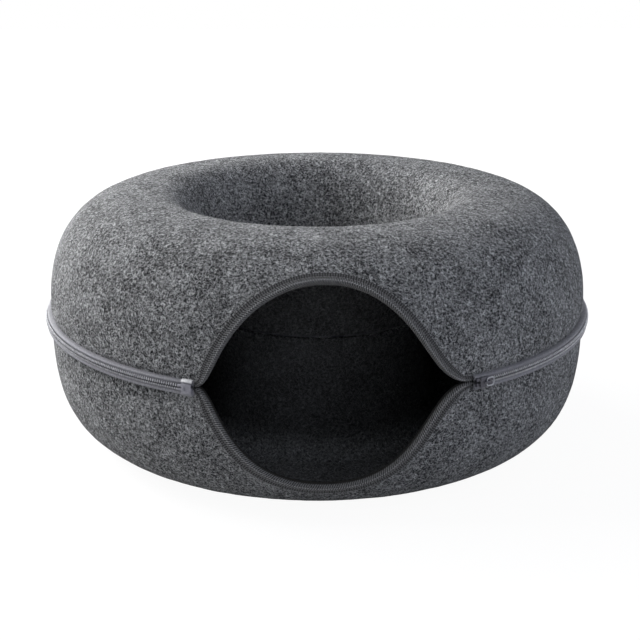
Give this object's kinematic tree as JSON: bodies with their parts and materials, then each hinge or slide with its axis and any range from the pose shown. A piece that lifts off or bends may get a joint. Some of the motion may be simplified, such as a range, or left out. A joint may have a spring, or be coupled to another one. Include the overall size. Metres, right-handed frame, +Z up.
{
  "type": "donut cat tunnel",
  "caption": "Ring-shaped felt cat tunnel bed with a lens-shaped mouth in front, a centre hole, and zips round the outside and the hole that let its top half lift off.",
  "frame": {"origin": "middle of the whole part's footprint, on the plane it rests on", "axes": "+Z up, the mouth faces -Y, +X along the width; the ring's own axis is the line x = 0, y = -0.007547 m"},
  "size_m": [0.5104, 0.4954, 0.2259],
  "materials": {
    "felt": "heather grey moulded wool-look felt",
    "binding": "ribbed woven binding tape",
    "zip_tape": "grey woven zip tape",
    "zip_coil": "grey nylon coil",
    "zip_box": "moulded grey-violet plastic",
    "end_film": "pale heat-set film",
    "zip_slider": "grey painted die-cast metal"
  },
  "bodies": {
    "lower_half": {"lower_shell": "felt", "lower_opening_binding": "binding", "outer_zip_lower_tape": "zip_tape", "outer_zip_lower_coil": "zip_coil", "outer_zip_lower_end_film": "end_film", "outer_zip_lower_stop": "zip_coil", "outer_zip_retainer_box": "zip_box", "inner_zip_lower_tape": "zip_tape", "inner_zip_lower_coil": "zip_coil", "inner_zip_lower_end_film": "end_film", "inner_zip_lower_stop": "zip_coil", "inner_zip_retainer_box": "zip_box"},
    "upper_half": {"upper_shell": "felt", "upper_opening_binding": "binding", "outer_zip_upper_tape": "zip_tape", "outer_zip_upper_coil": "zip_coil", "outer_zip_upper_end_film": "end_film", "outer_zip_upper_stop": "zip_coil", "outer_zip_insertion_pin": "zip_box", "inner_zip_upper_tape": "zip_tape", "inner_zip_upper_coil": "zip_coil", "inner_zip_upper_end_film": "end_film", "inner_zip_upper_stop": "zip_coil", "inner_zip_insertion_pin": "zip_box"},
    "outer_slider": {"outer_zip_slider": "zip_slider"},
    "outer_pull": {"outer_zip_pull_tab": "zip_slider"},
    "inner_slider": {"inner_zip_slider": "zip_slider"},
    "inner_pull": {"inner_zip_pull_tab": "zip_slider"}
  },
  "joints": [
    {"name": "upper_half_lift", "type": "slide", "parent": "lower_half", "child": "upper_half", "axis": [0, 0, 1], "range_m": [0, 0.13]},
    {"name": "outer_slider_run", "type": "hinge", "parent": "lower_half", "child": "outer_slider", "pos_m": [0, -0.00755, 0.1167], "axis": [0, 0, 1], "range_deg": [0, 302.3]},
    {"name": "outer_pull_swing", "type": "hinge", "parent": "outer_slider", "child": "outer_pull", "pos_m": [0.12937, -0.23019, 0.1167], "axis": [0, 0, -1], "range_deg": [0, 170]},
    {"name": "inner_slider_run", "type": "hinge", "parent": "lower_half", "child": "inner_slider", "pos_m": [0, -0.00755, 0.1167], "axis": [0, 0, 1], "range_deg": [0, 340.7]},
    {"name": "inner_pull_swing", "type": "hinge", "parent": "inner_slider", "child": "inner_pull", "pos_m": [0.01416, -0.10664, 0.1167], "axis": [0, 0, 1], "range_deg": [0, 170]}
  ]
}
